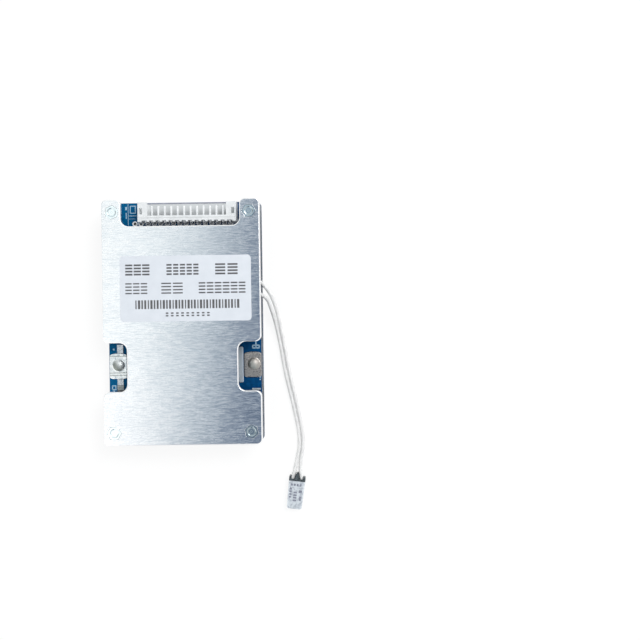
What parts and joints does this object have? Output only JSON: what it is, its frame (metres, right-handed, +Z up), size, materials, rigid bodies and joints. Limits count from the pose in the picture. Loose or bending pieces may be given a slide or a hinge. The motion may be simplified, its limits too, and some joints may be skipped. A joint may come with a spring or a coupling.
{
  "type": "battery management board",
  "caption": "Battery protection board between two aluminium plates, with a cell-tap header, two solder terminals and a thermal switch on a short two-wire lead.",
  "frame": {"origin": "centre of the bottom plate's underside", "axes": "+X across the board's width, +Y along its length towards the header, +Z up, out of the top plate"},
  "size_m": [0.0778, 0.1238, 0.0127],
  "materials": {
    "top_plate_aluminium": "brushed along its width",
    "bottom_plate_aluminium": "brushed along its width",
    "plated_steel": "zinc plated, satin",
    "tinned_metal": "tin plated",
    "solder": "bright solder",
    "board_blue": "blue solder mask, satin gloss",
    "insulator_grey": "soft grey sheet",
    "thermal_pad_grey": "soft blue-grey sheet",
    "label_white": "satin white film",
    "header_white": "moulded white nylon",
    "package_black": "moulded black resin",
    "resistor_dark": "dark glaze with tinned ends",
    "capacitor_tan": "tan ceramic with tinned ends",
    "wire_white": "white insulation, slight sheen",
    "switch_case": "pale grey case",
    "seal_black": "black resin"
  },
  "bodies": {
    "root": {"balance_resistors": "resistor_dark", "balance_transistors": "package_black", "bottom_plate": "bottom_plate_aluminium", "busbar": "tinned_metal", "capacitors": "capacitor_tan", "circuit_board": "board_blue", "clamp_diodes": "package_black", "header_housing": "header_white", "header_pins": "tinned_metal", "insulating_pad": "insulator_grey", "label": "label_white", "lead_joints": "solder", "lead_wire_inner": "wire_white", "lead_wire_outer": "wire_white", "monitor_chip": "package_black", "monitor_legs": "tinned_metal", "screw_front_left": "plated_steel", "screw_front_right": "plated_steel", "screw_rear_left": "plated_steel", "screw_rear_right": "plated_steel", "sense_resistor_left": "resistor_dark", "sense_resistor_right": "resistor_dark", "shunt_1": "resistor_dark", "shunt_2": "resistor_dark", "shunt_3": "resistor_dark", "standoff_front_left": "plated_steel", "standoff_front_right": "plated_steel", "standoff_rear_left": "plated_steel", "standoff_rear_right": "plated_steel", "switch_body": "switch_case", "switch_seal": "seal_black", "terminal_left": "solder", "terminal_right": "solder", "thermal_pad": "thermal_pad_grey", "top_plate": "top_plate_aluminium", "track_strips": "solder", "transistor_left_1_body": "package_black", "transistor_left_1_frame": "tinned_metal", "transistor_left_2_body": "package_black", "transistor_left_2_frame": "tinned_metal", "transistor_left_3_body": "package_black", "transistor_left_3_frame": "tinned_metal", "transistor_right_1_body": "package_black", "transistor_right_1_frame": "tinned_metal", "transistor_right_2_body": "package_black", "transistor_right_2_frame": "tinned_metal", "transistor_right_3_body": "package_black", "transistor_right_3_frame": "tinned_metal"}
  },
  "joints": []
}
